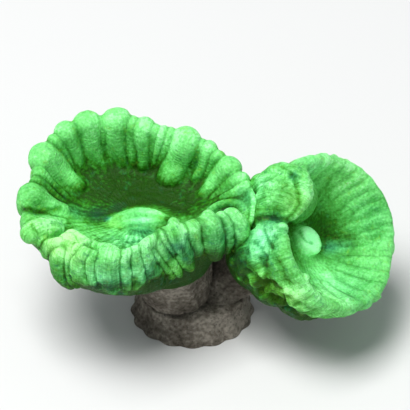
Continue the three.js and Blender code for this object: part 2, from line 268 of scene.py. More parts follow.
def finger_line(rim, neck, angle, half, thick, inner, taper, outer, drift, lift=0.7):
    """The middle line of a finger, from its inner end over the rim to its outer end, with its thickness and
    half width at each step, and the way across it. Lift is the share of its thickness that stands out."""
    section, crest = bowl_section(rim, neck, angle)
    along = np.concatenate([[0], np.cumsum(np.linalg.norm(np.diff(section, axis=0), axis=1))])
    start = along[crest] - inner * (along[crest] - along[2]) + thick * taper
    s = np.arange(start, along[crest] + outer - thick * 0.6, FINGER_STEP)
    spot = np.stack([np.interp(s, along, section[:, k]) for k in (0, 1)], -1)
    way = np.gradient(spot, axis=0)
    way /= np.linalg.norm(way, axis=1)[:, None]
    share = (s - along[crest]) / np.where(s < along[crest], along[crest] - start, outer)
    inward, outward = np.clip(-share, 0, 1), np.clip(share, 0, 1)

    # It thins inwards to its taper and outwards by 0.3, swells a little on the way, and rounds every corner.
    size = (1 - (1 - taper) * inward**1.7) * (1 - 0.3 * outward**2)
    size *= 1 + 0.04 * np.sin(s * 2.1 + angle)
    spot = spot + np.stack([-way[:, 1], way[:, 0]], -1) * (lift - 1) * (thick * size)[:, None]
    for _ in range(10):
        spot[1:-1] = (spot[:-2] + 2 * spot[1:-1] + spot[2:]) / 4
    side = math.radians(half) * 1.12 * np.clip(spot[:, 0], 0.75 * spot[:, 0].max(), None) * size
    sway = drift * inward**1.5 + np.sin(s * 1.3 + 0.7 * angle)
    turn = np.radians(angle + sway)
    line = np.stack([spot[:, 0] * np.cos(turn), spot[:, 0] * np.sin(turn), spot[:, 1]], -1)
    facing = math.radians(angle)
    return line, thick * size, side, (-math.sin(facing), math.cos(facing), 0)


TUBE_SIDES = 18
TUBE_CAP = (90, 72, 54, 36, 18)  # the rings of a round end, in degrees, where 90 is its tip


def tube(name, line, thick, side, sideways):
    """A round-ended tube along a line, with its own thickness and half width at each step."""
    ahead = np.gradient(line, axis=0)
    ahead /= np.linalg.norm(ahead, axis=1)[:, None]
    caps = np.radians(TUBE_CAP)
    last = len(line) - 1
    rings = [(0, a, -1) for a in caps] + [(i, 0, 0) for i in range(len(line))]
    rings += [(last, a, 1) for a in caps[::-1]]
    step, cap, sign = (np.array(v) for v in zip(*rings))
    step = step.astype(int)
    end = np.minimum(thick, side)[step]
    middles = line[step] + ahead[step] * (end * np.sin(cap) * sign)[:, None]
    up = np.cross(ahead[step], np.broadcast_to(sideways, (len(step), 3)))
    up /= np.linalg.norm(up, axis=1)[:, None]
    out = np.cross(up, ahead[step])
    up *= (thick[step] * np.cos(cap))[:, None]
    out *= (side[step] * np.cos(cap))[:, None]

    def place(turn, fall):
        row = np.round(fall * (len(step) - 1)).astype(int)
        a = turn[:, None] * 2 * math.pi
        return middles[row] + np.cos(a) * up[row] + np.sin(a) * out[row]

    return mould(name, TUBE_SIDES, len(step) - 1, place)


ROPE_STEP = 0.25  # between the places of a rope's middle line


def smooth_line(points):
    """A smooth line through points, as evenly spaced places."""
    p = np.array(points, float)
    p = np.concatenate([[2 * p[0] - p[1]], p, [2 * p[-1] - p[-2]]])
    line = []
    for i in range(1, len(p) - 2):
        steps = max(2, int(round(np.linalg.norm(p[i + 1, :3] - p[i, :3]) / ROPE_STEP)))
        line += [between(*p[i - 1 : i + 3], t) for t in np.arange(steps) / steps]
    return np.array(line + [p[-2]])


def rope_line(points):
    """The middle line of a roll of flesh through points that end with their radius, or with their thickness
    and their half width across the way from the head's middle."""
    line = smooth_line(points)
    sideways = np.array([0, 0, 1.0])
    if len(points[0]) > 4:
        sideways = np.array([-line[:, 1].mean(), line[:, 0].mean(), 0])
    return line[:, :3], line[:, 3], line[:, -1], tuple(sideways / np.linalg.norm(sideways))


def egg(name, middle, half, turn=(0, 0, 0)):
    """An ellipsoid: its middle, half sizes and turn in degrees."""
    turn = [math.radians(a) for a in turn]
    bpy.ops.object.select_all(action="DESELECT")
    bpy.ops.mesh.primitive_uv_sphere_add(
        segments=40, ring_count=24, radius=1, location=middle, rotation=turn, scale=half
    )
    bpy.ops.object.transform_apply(location=True, rotation=True, scale=True)
    bpy.context.object.name = name
    return bpy.context.object


left_lines = [finger_line(LEFT_RIM, LEFT_NECK, *finger) for finger in LEFT_FINGERS]

# The lip of skin that runs from the last finger to the fold at the right, that fold, and the lip in front.
EDGE_LIP = [
    (8.8, 1.9, 1.95, 0.2), (9.2, 0.8, 1.95, 0.21), (9.4, -0.1, 1.75, 0.22), (9.35, -0.9, 1.3, 0.22),
    (9.0, -1.7, 0.8, 0.22), (8.4, -2.4, 0.4, 0.2),
]
FOLD = [
    (5.3, -0.6, 0.5, 0.24), (5.7, -0.3, 0.8, 0.27), (6.3, 0.0, 1.1, 0.27), (7.2, 0.25, 1.3, 0.27),
    (8.1, 0, 1.3, 0.27), (8.7, -0.8, 1.0, 0.27), (8.9, -1.6, 0.5, 0.27),
]
FRONT_LIP = [
    (-5.5, -4.85, 2.7, 0.28), (-5.1, -4.7, 2.8, 0.36), (-4.6, -4.95, 2.75, 0.34), (-3.9, -5.45, 2.75, 0.3),
    (-3.2, -5.85, 2.75, 0.28), (-2.2, -6.2, 2.7, 0.24),
]
left_lines += [rope_line(points) for points in (EDGE_LIP, FOLD, FRONT_LIP, *FRONT_LOBES)]

# The mouth: a low mound with a broad arched upper lip, a shallow hollow, and a narrow lower lip.
UPPER_LIP = [
    (-2.3, -0.75, 0.1, 0.2), (-1.5, -0.3, 0.2, 0.3), (-0.4, 0.15, 0.28, 0.34), (0.6, 0.2, 0.3, 0.34),
    (1.5, -0.05, 0.28, 0.32), (2.3, -0.4, 0.24, 0.26), (3.4, -0.5, 0.22, 0.2), (4.8, -0.6, 0.28, 0.18),
]
LOWER_LIP = [
    (-1.0, -1.0, 0.28, 0.22), (-0.1, -0.98, 0.38, 0.28), (1.0, -0.92, 0.4, 0.28), (2.0, -0.85, 0.34, 0.24),
    (2.8, -0.7, 0.26, 0.18),
]
MOUND = {"middle": (0.1, -0.4, -0.15), "half": (2.35, 1.2, 0.5)}
mouth_lines = [rope_line(points) for points in (UPPER_LIP, LOWER_LIP)]
parts = [bowl("left_bowl", LEFT_RIM, LEFT_NECK), egg("left_mound", **MOUND)]
parts += [tube("left_roll", *line) for line in left_lines + mouth_lines]

# When the skin is creased and coloured, the whole mouth counts as one more lobe, along this line.
MOUTH_LOBE = [(-1.3, -0.55, 0, 0.8, 0.8), (0.2, -0.3, 0, 1.1, 1.1), (1.3, -0.5, 0, 0.8, 0.8)]
left_lines.append(rope_line(MOUTH_LOBE))


def pick(pieces):
    """Selects these pieces and no others, with the first one active."""
    bpy.ops.object.select_all(action="DESELECT")
    for piece in pieces:
        piece.select_set(True)
    bpy.context.view_layer.objects.active = pieces[0]


def face_outwards():
    """Turns the faces of the active piece outwards."""
    bpy.ops.object.mode_set(mode="EDIT")
    bpy.ops.mesh.select_all(action="SELECT")
    bpy.ops.mesh.normals_make_consistent(inside=False)
    bpy.ops.object.mode_set(mode="OBJECT")


def grow_together(name, parts, grain):
    """Joins overlapping closed parts into one skin and rounds the seams where they meet."""
    pick(parts)
    bpy.ops.object.join()
    whole = bpy.context.object
    whole.name = name
    face_outwards()
    melt = whole.modifiers.new("melt", "REMESH")
    melt.mode = "VOXEL"
    melt.voxel_size = grain
    bpy.ops.object.modifier_apply(modifier="melt")
    soften = whole.modifiers.new("soften", "SMOOTH")
    soften.factor = 0.5
    soften.iterations = 3
    bpy.ops.object.modifier_apply(modifier="soften")
    return whole


FAR = 99.0
LOBE_SHIFT = 1.7  # each lobe's own pattern starts this much further on, so that no two look alike


def nearest_lobe(places, lines):
    """For each place: how far it is from the nearest lobe's middle line, in widths of that lobe, how far
    along that lobe it is, and how much nearer it is than the next lobe."""
    first = np.full(len(places), FAR)
    second = first.copy()
    along = np.zeros(len(places))
    for n, (line, thick, side, sideways) in enumerate(lines):
        near = np.full(len(places), FAR)
        spot = np.zeros(len(places))
        run = 0
        for i in range(len(line) - 1):
            ahead = line[i + 1] - line[i]
            long = np.linalg.norm(ahead)
            t = np.clip((places - line[i]) @ ahead / long**2, 0, 1)
            off = places - line[i] - t[:, None] * ahead
            across = off @ np.array(sideways)
            wide = side[i] + t * (side[i + 1] - side[i])
            high = thick[i] + t * (thick[i + 1] - thick[i])
            level = np.clip((off**2).sum(1) - across**2, 0, None)
            gap = np.sqrt((across / wide) ** 2 + level / high**2)
            closer = gap < near
            near[closer] = gap[closer]
            spot[closer] = (run + t * long)[closer]
            run += long
        closer = near < first
        second = np.where(closer, first, np.minimum(second, near))
        first = np.where(closer, near, first)
        along = np.where(closer, spot + LOBE_SHIFT * n, along)
    return first, along, second - first


def mark(piece, name, values):
    """Stores one value per vertex for the material."""
    layer = piece.data.attributes.new(name, "FLOAT", "POINT")
    layer.data.foreach_set("value", np.ascontiguousarray(values, dtype=np.float32))


left = grow_together("left_flesh", parts, SKIN_GRAIN)


LATTICE = 32  # bumps in a row before they repeat


def lumpy(places, size, seed):
    """A smooth uneven value between -1 and 1 at each place, with bumps of about this size."""
    lattice = np.random.RandomState(seed).uniform(-1, 1, (LATTICE,) * 3)
    cell = np.floor(places / size).astype(int)
    t = places / size - cell
    t = t * t * (3 - 2 * t)
    value = np.zeros(len(places))
    for corner in np.ndindex(2, 2, 2):
        weight = np.prod(np.where(corner, t, 1 - t), axis=1)
        value += weight * lattice[tuple(((cell + corner) % LATTICE).T)]
    return value


def near_spots(places, spots):
    """The sum of spots that fade out from their middle: middle, radius and strength."""
    total = np.zeros(len(places))
    for *middle, size, amount in spots:
        total += amount * np.clip(1 - np.linalg.norm(places - middle, axis=1) / size, 0, 1)
    return total


SLANT = 0.707  # of what lies behind or above, as seen from 45 degrees up


def grooves_at(places, ways, lines):
    """How deep the skin is grooved at each place. A groove lies on the side that faces forward and up, near a
    middle place: that place, reach, half width, depth, and its line as (x, y + z)."""
    total = np.zeros(len(places))
    seen = np.stack([places[:, 0], SLANT * (places[:, 1] + places[:, 2])], -1)
    for middle, reach, wide, deep, points in lines:
        line = np.array(points) * (1, SLANT)
        near = np.full(len(places), FAR)
        for one, other in zip(line[:-1], line[1:]):
            t = np.clip((seen - one) @ (other - one) / ((other - one) ** 2).sum(), 0, 1)
            near = np.minimum(near, np.linalg.norm(seen - one - t[:, None] * (other - one), axis=1))
        close = (np.linalg.norm(places - middle, axis=1) < reach) & (ways[:, 2] > ways[:, 1])
        total += close * deep * np.clip(1 - near / wide, 0, 1)
    return total


WRINKLE_STEP = 0.52
WRINKLE_HEIGHT = 0.008
CREASE_DEPTH = 0.1
LUMP_SIZE = 0.7
LUMP_HEIGHT = 0.035
ROUGH_SIZES = (0.75, 0.4)  # of the lumps in a rough spot
CALM_PLACE = (0, -0.3)  # the middle of the smooth skin round a mouth, and its half sizes
CALM_HALF = (2.8, 1.4)


def finish_head(piece, lines, rim, depth, even, grooves, rough, painted_lights, blues, warms):
    """Deepens the creases between the lobes, wrinkles the lobes crosswise, roughens the skin, and stores what
    the colour needs. Depth says how deep the creases are and even how alike lobes and floor are, both from
    0 to 1. The last four are spots of rough skin, of painted light and shade, of bluish skin and of yellowish
    skin."""
    places, ways = places_and_ways(piece)
    off, along, apart = nearest_lobe(places, lines)
    turn = np.degrees(np.arctan2(places[:, 1], places[:, 0]))
    crown = np.clip(places[:, 2] / around(rim, turn)[:, 1], -1, 1.1)
    on_lobe = np.clip(1 - (off - 1.05) / (0.5 + even), 0, 1)
    back = np.clip((places[:, 1] + 4) / 4 + 1.4 * even, 0, 1)

    # Raised is 0 on the deep floor, and 1 on the wall and at the calm skin of the mouth.
    from_mouth = np.hypot(*((places[:, k] - CALM_PLACE[k]) / CALM_HALF[k] for k in (0, 1)))
    calm = np.clip(1.5 - 0.8 * from_mouth, 0, 1)
    raised = np.clip(crown / 0.4 + calm, 0, 1)
    raised = raised * raised * (3 - 2 * raised)
    # Lobes are painted lighter than the floor between them, except on the deep floor at the back of the cup,
    # which is left in painted shade. The same share marks where the lobes' own patterns lie.
    lobe_light = on_lobe * (1 - back * (1 - raised))

    # The creases are cut into the skin, and the colour paints them darker as well: painted shade, wider and
    # weaker at the back.
    crease_width = 0.32 + 0.38 * back + 0.5 * even
    crease = depth * np.clip(1 - apart / crease_width, 0, 1) * on_lobe
    crease *= (1 - 0.5 * np.clip(crown, 0, 1) ** 2) * (1 - 0.2 * back)
    crease = np.maximum(crease * (1 - 2 * even * (1 - raised) * (off > 0.9)), grooves)
    wrinkle = np.sin(along * 2 * math.pi / WRINKLE_STEP + 1.5 * np.sin(turn * 0.6)) * on_lobe * (1 - crease)
    push = WRINKLE_HEIGHT * wrinkle - CREASE_DEPTH * crease + LUMP_HEIGHT * lumpy(places, LUMP_SIZE, 1)
    uneven = near_spots(places, rough)
    lumps = lumpy(places, ROUGH_SIZES[0], 2) + 0.6 * lumpy(places, ROUGH_SIZES[1], 3)
    push += uneven * lumps
    put_at(piece, places + ways * push[:, None])

    mark(piece, "along", along)
    mark(piece, "crease", crease)
    mark(piece, "lobe", even + (1 - even) * lobe_light)
    mark(piece, "crown", crown)
    # Spots of painted light and painted shade, with the rough skin's lumps painted lighter where they rise
    # and darker where they sink.
    mark(piece, "painted_light", near_spots(places, painted_lights) + 1.3 * uneven * (lumps - 0.15))
    mark(piece, "blue", near_spots(places, blues))
    mark(piece, "warm", near_spots(places, warms))
    mark(piece, "spoke", turn)
    mark(piece, "calm", np.maximum(calm, 0.6 * back * (1 - np.clip(8 * uneven, 0, 1))))


# Single grooves of the left head: a middle place, reach, half width, depth, and the line as (x, y + z). After
# them spots of rough skin, of painted light (pale) or painted shade (dark), bluish and yellowish skin: place,
# radius and strength.
LEFT_GROOVES = [
    ((0, 1, 0), 4.5, 0.4, 0.5,
     [(-1.5, 0.9), (-0.96, 1.47), (-0.16, 1.75), (1.04, 1.8), (2.1, 1.47), (3.04, 0.9), (4.1, 0.45)]),
    ((0.5, 2, 0), 4.5, 0.16, 0.4, [(-1.9, 1.6), (-0.9, 2.5), (0.3, 2.8), (1.6, 2.6), (3.0, 2.0), (4.4, 1.4)]),
    ((0.5, -0.6, 0.5), 3, 0.35, 0.4, [(0.0, 0.0), (0.9, 0.1), (1.8, 0.0)]),
    ((0.5, -1.2, 0.3), 3, 0.2, 0.5, [(-1.36, -1.4), (-0.5, -1.15), (1.04, -1.2), (2.6, -1.3)]),
    ((-7.7, -1.6, 2.6), 3, 0.35, 1.0, [(-9.0, 0.75), (-7.8, 0.4), (-6.2, 0.8)]),
    ((3.5, -5, 1.5), 3, 0.35, 0.7, [(2.9, -1.3), (3.4, -3.0), (3.9, -4.4)]),
    ((-8.5, -3.8, 2), 3, 0.2, 0.6, [(-8.2, -0.9), (-8.1, -1.4), (-7.7, -1.9)]),
]
LEFT_ROUGH = [
    (3.5, -4.5, 1.0, 4.0, 0.15), (-3.5, -6.5, 0.5, 4.5, 0.15), (0, -7.0, 0, 4.5, 0.17),
    (7.2, -2.3, 1.0, 3.0, 0.16), (-0.5, -4, 1.5, 3.5, 0.12),
]
# Spots of painted light (above zero) and painted shade (below zero): place, radius and strength.
LEFT_PAINTED_LIGHT = [
    # the mouth
    (-0.9, -0.4, 0.5, 1.6, 0.15), (0.3, -0.2, 0.6, 1.8, 0.25), (1.4, -0.5, 0.5, 1.4, 0.12),
    (0.6, -1.0, 0.6, 1.1, 0.2), (1.8, 0.2, 0.3, 1.2, 0.3), (-2.3, -0.9, 0.1, 0.8, 0.2),
    # the left wall and its lobes
    (-5.3, 2.7, 1.7, 1.4, 0.25), (-6.5, 1.4, 1.5, 1.5, -0.35), (-8.6, 0.3, 2.6, 2.2, -0.22),
    (-8.8, -3.0, 2.2, 2.0, -0.15), (-6.2, 0.6, 1.0, 1.5, -0.25),
    # the right wall and its lobes
    (8.6, 1.6, 1.9, 1.4, 0.1), (9.2, 0, 1.8, 1.2, 0.05), (5.2, 2.3, 1.5, 1.3, 0.2),
    (6.6, 1.5, 1.6, 1.2, -0.35), (5.8, 4.2, 4.2, 2.0, 0.15), (8.2, 0.4, 1.6, 1.3, -0.15),
    (7.2, -0.3, 1.3, 1.4, -0.35), (8.2, -0.9, 1.2, 0.9, -0.3),
    # the lobes that hang down in front
    (-5.3, -5.3, 2.8, 2.2, 0.4), (-1.5, -6.6, 3.3, 1.8, 0.25), (0.3, -6.0, 3.2, 1.6, 0.2),
    (-2.0, -7.6, 1.2, 2.6, 0.1), (-4.4, -7.0, 1.2, 2.2, 0.2), (0.2, -7.2, 1.2, 2.2, 0.15),
    (8.0, -2.4, 1.0, 1.6, 0.2), (3.6, -4.6, 2.9, 1.2, 0.25), (1.8, -5.6, 1.9, 1.4, 0.3),
    (3.2, -5.4, -0.8, 1.6, 0.3), (-7.6, -4.4, 1.2, 1.3, -0.2), (6.0, -3.8, -0.6, 1.4, -0.5),
    (8.2, -2.7, -0.6, 1.5, 0.12), (-3.5, -7.4, -1.2, 1.4, -0.6), (1.6, -6.0, -1.6, 1.4, -0.8),
    (4.6, -4.6, 0.2, 1.2, -0.3), (-2.2, -8.0, 0.2, 1.2, -0.2),
    # the fingers at the back
    (2.4, 3.3, 1.5, 1.6, 0.3), (3.4, 5.4, 4.8, 2.4, 0.12), (0.6, 5.9, 4.9, 2.2, 0.12),
    (2.2, 5.2, 3.4, 1.6, 0.25), (-3.0, 6.3, 4.2, 1.4, 0.2),
    # the floor
    (0, -3.5, 1.0, 3.2, 0.5), (-3, -3.5, 1.2, 3.0, 0.4), (-4.5, -1.0, 0.5, 3.4, 0.3),
    (2.8, -1.8, 0.8, 2.0, 0.2), (3.6, -0.6, 0.4, 1.2, 0.15), (0.5, 3.2, 0.2, 3.0, -0.2),
    (-2.5, 3.0, 0.2, 3.0, -0.15), (3.5, 2.2, 0.3, 2.2, -0.15), (-1.6, -2.0, 0.5, 1.3, 0.3),
    (1.8, -1.9, 0.7, 1.1, 0.25), (-1.9, 0.6, 0.1, 0.8, -0.3), (-3.3, 0.1, 0.2, 1.2, -0.25),
]
LEFT_BLUES = [
    (-2.35, -0.45, 0.2, 0.5, 1.4), (-3.3, 0.1, 0.3, 1.2, 0.6), (-4.9, 0.1, 0.5, 1.1, 0.5),
    (-1.6, 0.9, 0.3, 0.9, 0.4), (0.4, -1.9, 0.5, 1.6, 0.5), (7.0, -1.0, 1.2, 1.2, 0.6),
    (8.8, 0.2, 1.8, 1.4, 0.5), (3.4, -5.1, 1.8, 1.5, 0.9), (4.3, -4.6, 0.4, 1.2, 0.6),
    (6.8, -3.6, 1.2, 2.4, 0.5), (-2.1, -8.0, 0.8, 2.4, 0.6), (1.0, -6.7, 0.4, 1.4, 0.5),
    (0.9, -1.8, 0.6, 0.7, 0.3), (0, -4.0, 1.4, 3.2, 0.55), (0.3, -7, 1.5, 2.5, 0.35),
    (0.2, -0.6, 0.5, 1.8, 0.3),
]
LEFT_WARMS = [
    (-5.3, -5.3, 2.8, 2.4, 0.65), (-6.5, -5.2, 1.8, 1.6, 0.6), (-8.0, -3.6, 2.2, 2.0, 0.4),
    (-4.6, -6.9, 2.8, 1.6, 0.4), (-2.0, -1.0, 0.3, 1.0, 0.5), (5.4, -4.0, -0.6, 2.0, 0.5),
    (-4.4, -7.2, -0.8, 1.6, 0.5), (0, -7.6, -1.0, 1.6, 0.5), (2.9, -5.3, -1.0, 1.6, 0.4),
]
cuts = grooves_at(*places_and_ways(left), LEFT_GROOVES)
spots = (LEFT_ROUGH, LEFT_PAINTED_LIGHT, LEFT_BLUES, LEFT_WARMS)
finish_head(left, left_lines, LEFT_RIM, 0.85, 0, cuts, *spots)
left.data.transform(Matrix.Scale(MM, 4) @ Matrix.Translation(LEFT_MOUTH))
left.data.shade_smooth()


def feed(tree, made, inputs):
    """Gives a shader node its inputs, which are constants or outputs of other nodes."""
    for key, value in inputs.items():
        if isinstance(value, bpy.types.NodeSocket):
            tree.links.new(value, made.inputs[key])
        else:
            made.inputs[key].default_value = value


def node(tree, kind, inputs, **settings):
    """Adds a shader node."""
    made = tree.nodes.new(kind)
    for key, value in settings.items():
        setattr(made, key, value)
    feed(tree, made, inputs)
    return made


def noise(tree, place, scale, detail, roughness=0.5):
    """Soft noise between 0 and 1 at each place."""
    inputs = {"Vector": place, "Scale": scale, "Detail": detail, "Roughness": roughness}
    return node(tree, "ShaderNodeTexNoise", inputs).outputs[0]


def sums(tree, operation, a, b, clamp=False):
    """One step of arithmetic."""
    return node(tree, "ShaderNodeMath", {0: a, 1: b}, operation=operation, use_clamp=clamp).outputs[0]


def times(tree, first, *others):
    """The product of values."""
    for other in others:
        first = sums(tree, "MULTIPLY", first, other)
    return first


def less(tree, a, b):
    """One value less another."""
    return sums(tree, "SUBTRACT", a, b)


def layered(tree, layers):
    """The sum of layers, each a value and its weight."""
    total = times(tree, *layers[0])
    for layer in layers[1:]:
        total = sums(tree, "ADD", total, times(tree, *layer))
    return total


def ramp(tree, value, stops):
    """A colour ramp: stops are (place, colour)."""
    made = node(tree, "ShaderNodeValToRGB", {0: value})
    elements = made.color_ramp.elements
    while len(elements) < len(stops):
        elements.new(1)
    for element, (place, colour) in zip(elements, stops):
        element.position = place
        element.color = (*colour, 1)
    return made.outputs[0]


def mix(tree, share, one, other):
    """A colour between two: the one at share 0, and the other at share 1."""
    return node(tree, "ShaderNodeMix", {0: share, 6: one, 7: other}, data_type="RGBA").outputs[2]


def relief(tree, height, strength):
    """The bumps that heights in millimetres make on the surface."""
    inputs = {"Height": height, "Distance": MM, "Strength": strength}
    return node(tree, "ShaderNodeBump", inputs).outputs[0]


def read(tree, name):
    """What finish_head stored under a name."""
    return node(tree, "ShaderNodeAttribute", {}, attribute_name=name).outputs["Fac"]


def new_material(name):
    """A material, its tree of nodes and the node of its surface."""
    material = bpy.data.materials.new(name)
    material.use_nodes = True
    return material, material.node_tree, material.node_tree.nodes["Principled BSDF"]


# The greens run from the painted shade of the creases and the deep cup, at the dark end, to the painted
# highlight on the lobe tops, at the pale end.
SHADED_FLESH = (0.012, 0.06, 0.002)
DEEP_GREEN = (0.024, 0.18, 0.007)
GREEN = (0.085, 0.45, 0.075)
BRIGHT_GREEN = (0.21, 0.78, 0.22)
LIT_PALE_GREEN = (0.33, 0.92, 0.36)
TEAL_SPECKS = (0.015, 0.17, 0.09, 1)
YELLOW_SPECKS = (0.2, 0.5, 0.03, 1)
YELLOWISH = [(0.2, (0.05, 0.16, 0.004)), (0.6, (0.16, 0.5, 0.025)), (1.0, (0.5, 0.95, 0.22))]
BLUISH = [(0.2, (0.008, 0.1, 0.06)), (0.6, (0.05, 0.38, 0.22)), (1.0, (0.28, 0.85, 0.55))]
BLACK, WHITE = (0, 0, 0), (1, 1, 1)
RING_STEP = 0.3  # between the fine wrinkles round a lobe
RAYS = 55  # on the floor, all round the mouth

# Patches are one or two millimetres wide, blotches half a millimetre, and grains a fifth.
flesh, tree, surface = new_material("flesh")
spot = node(tree, "ShaderNodeTexCoord", {}).outputs["Object"]
patches = noise(tree, spot, 600, 3)
grains = noise(tree, spot, 4500, 3)
blotch = noise(tree, spot, 1800, 5, 0.65)
crown, crease, lobe, painted_light = (read(tree, name) for name in ("crown", "crease", "lobe", "painted_light"))
along, spoke, calm = (read(tree, name) for name in ("along", "spoke", "calm"))
not_lobe, not_calm = less(tree, 1, lobe), less(tree, 1, calm)
streak = sums(tree, "SINE", times(tree, spoke, math.radians(RAYS)), 0)
streak = times(tree, streak, not_lobe, less(tree, 1.3, calm))
waves = []
for long, wide in ((8, 0.2), (1.3, 1.0)):  # crosswise and lengthwise wrinkles
    way = node(tree, "ShaderNodeCombineXYZ", {0: times(tree, along, long), 1: times(tree, spoke, wide)})
    waves.append(noise(tree, way.outputs[0], 1, 3))
wrinkles = times(tree, less(tree, sums(tree, "ADD", *waves), 1), not_calm)
# A painted highlight along the middle height of each lobe.
body = sums(tree, "MAXIMUM", times(tree, lobe, crown, less(tree, 1, crown)), 0)
mottle = times(tree, less(tree, blotch, 0.5), not_lobe)
# How light the skin is painted: painted shade low in the cup, on the deep floor and in the creases, painted
# light on the crests, the lobes and the spots of painted light, over the skin's own patches, grains,
# blotches, rays and wrinkles.
painted_shade_and_tone = layered(tree, [
    (crown, 0.45), (lobe, 0.3), (body, 0.3), (painted_light, 1), (crease, -0.5), (less(tree, patches, 0.5), 0.5),
    (less(tree, grains, 0.5), 0.6), (mottle, 0.8), (streak, 0.08), (wrinkles, 0.6), (0.1, 1),
])
skin = ramp(tree, painted_shade_and_tone, [
    (0.03, SHADED_FLESH), (0.28, DEEP_GREEN), (0.58, GREEN), (0.9, BRIGHT_GREEN), (1.0, LIT_PALE_GREEN),
])
teal = ramp(tree, blotch, [(0.56, BLACK), (0.68, WHITE)])
yellow = ramp(tree, blotch, [(0.32, WHITE), (0.42, BLACK)])
skin = mix(tree, times(tree, teal, not_calm, 0.6), skin, TEAL_SPECKS)
skin = mix(tree, times(tree, yellow, lobe, 0.4), skin, YELLOW_SPECKS)
# The bluish and yellowish patches are tints of the skin; their ramps follow the same painted light and shade.
for name, weight, colours in (("warm", 0.6, YELLOWISH), ("blue", 0.7, BLUISH)):
    share = sums(tree, "MULTIPLY", read(tree, name), weight, clamp=True)
    skin = mix(tree, share, skin, ramp(tree, painted_shade_and_tone, colours))
rings = sums(tree, "ADD", times(tree, along, 2 * math.pi / RING_STEP), times(tree, blotch, 9))
rings = times(tree, sums(tree, "SINE", rings, 0), lobe)
height = layered(tree, [(rings, 0.01), (grains, 0.08), (blotch, 0.14), (streak, 0.01), (wrinkles, 0.12)])
# A painted glow: the skin gives off light of its own colour, a little all over and more where painted light
# is laid on.
painted_glow = layered(tree, [(sums(tree, "MAXIMUM", painted_light, 0), 0.7), (0.15, 1)])
feed(tree, surface, {
    "Base Color": skin, "Normal": relief(tree, height, 0.9), "Roughness": 0.5, "Specular IOR Level": 0.15,
    "Subsurface Weight": 0.25, "Subsurface Radius": (0.3, 1.0, 0.3), "Subsurface Scale": 0.4 * MM,
    "Emission Color": skin, "Emission Strength": painted_glow,
})


def dress(piece, material):
    """Gives a piece one material all over."""
    piece.data.materials.clear()
    piece.data.materials.append(material)


dress(left, flesh)
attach(left, "root")
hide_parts("left_polyp")


# RIGHT HEAD
# The leaning head of the same flesh: a smaller cup whose wide soft lobes are sunk in the wall, with the folds
# of flesh that fill the saddle between the heads. It grows round the end of its own branch.

# The cup is measured from its mouth along the way it leans, and the saddle from the stalk's foot.
UP = Vector((0, 0, 1))
RIGHT_MOUTH = Vector((9.1, -0.5, 8.55))
LEAN = Vector((0.632, -0.378, 0.676)).normalized()
right_place = Matrix.Translation(RIGHT_MOUTH) @ UP.rotation_difference(LEAN).to_matrix().to_4x4()
RIGHT_RIM = [  # the same measures as the left head's
    (-168, 4.1, 2.6, 2.2, 0.6, 0.6, 0.3, 3.9),
    (-158, 5.0, 3.8, 2.3, 0.6, 0.65, 0.2, 3.9),
    (-139, 5.6, 4.3, 2.3, 0.6, 0.6, 0.2, 3.9),
    (-115, 5.75, 4.5, 2.2, 0.5, 0.45, 0.3, 3.9),
    (-88, 6.0, 4.5, 2.2, 0.4, 0.4, 0.35, 3.9),
    (-60, 5.85, 4.5, 2.2, 0.4, 0.4, 0.35, 3.9),
    (-30, 5.85, 4.5, 2.2, 0.4, 0.4, 0.35, 3.9),
    (0, 5.48, 4.5, 2.2, 0.4, 0.4, 0.35, 3.9),
    (30, 5.85, 4.5, 2.3, 0.5, 0.4, 0.35, 3.9),
    (60, 5.9, 4.5, 2.4, 0.5, 0.4, 0.35, 3.9),
    (95, 5.75, 4.5, 2.5, 0.6, 0.4, 0.35, 3.9),
    (125, 5.75, 4.5, 2.5, 0.6, 0.4, 0.35, 3.9),
    (138, 5.3, 4.25, 2.4, 0.6, 0.4, 0.4, 3.9),
    (148, 4.0, 3.9, 2.2, 0.6, 0.4, 0.5, 3.9),
    (163, 3.9, 3.5, 2.1, 0.6, 0.4, 0.5, 3.9),
    (178, 3.9, 2.6, 2.1, 0.6, 0.4, 0.5, 3.9),
]
RIGHT_LOBES = [  # angle, half width in degrees, thickness, and share of the inner wall
    (-109, 5, 0.5, 0.6), (-98, 5.5, 0.66, 0.85), (-87, 5.5, 0.68, 0.7), (-75, 6, 0.7, 0.8),
    (-62, 6.5, 0.74, 0.7), (-48, 7, 0.74, 0.85), (-34, 7, 0.76, 0.7), (-20, 6, 0.62, 0.75),
    (-8, 6.5, 0.7, 0.7), (7, 8, 0.8, 0.8), (21, 5.5, 0.6, 0.5), (32, 5.5, 0.66, 0.75),
    (43, 5.2, 0.56, 0.5), (53, 5.2, 0.62, 0.6), (64, 5.5, 0.6, 0.7), (75, 5.5, 0.66, 0.6),
    (87, 6, 0.62, 0.45), (99, 6, 0.7, 0.7), (111, 6, 0.6, 0.5), (124, 6.5, 0.62, 0.6),
]
RIGHT_NECK = {"radius": 2.9, "height": -4, "shift": (0, 0)}
right_lines = [
    finger_line(RIGHT_RIM, RIGHT_NECK, angle, half, thick, reach, taper=0.5, outer=3.4, drift=0, lift=0.28)
    for angle, half, thick, reach in RIGHT_LOBES
]

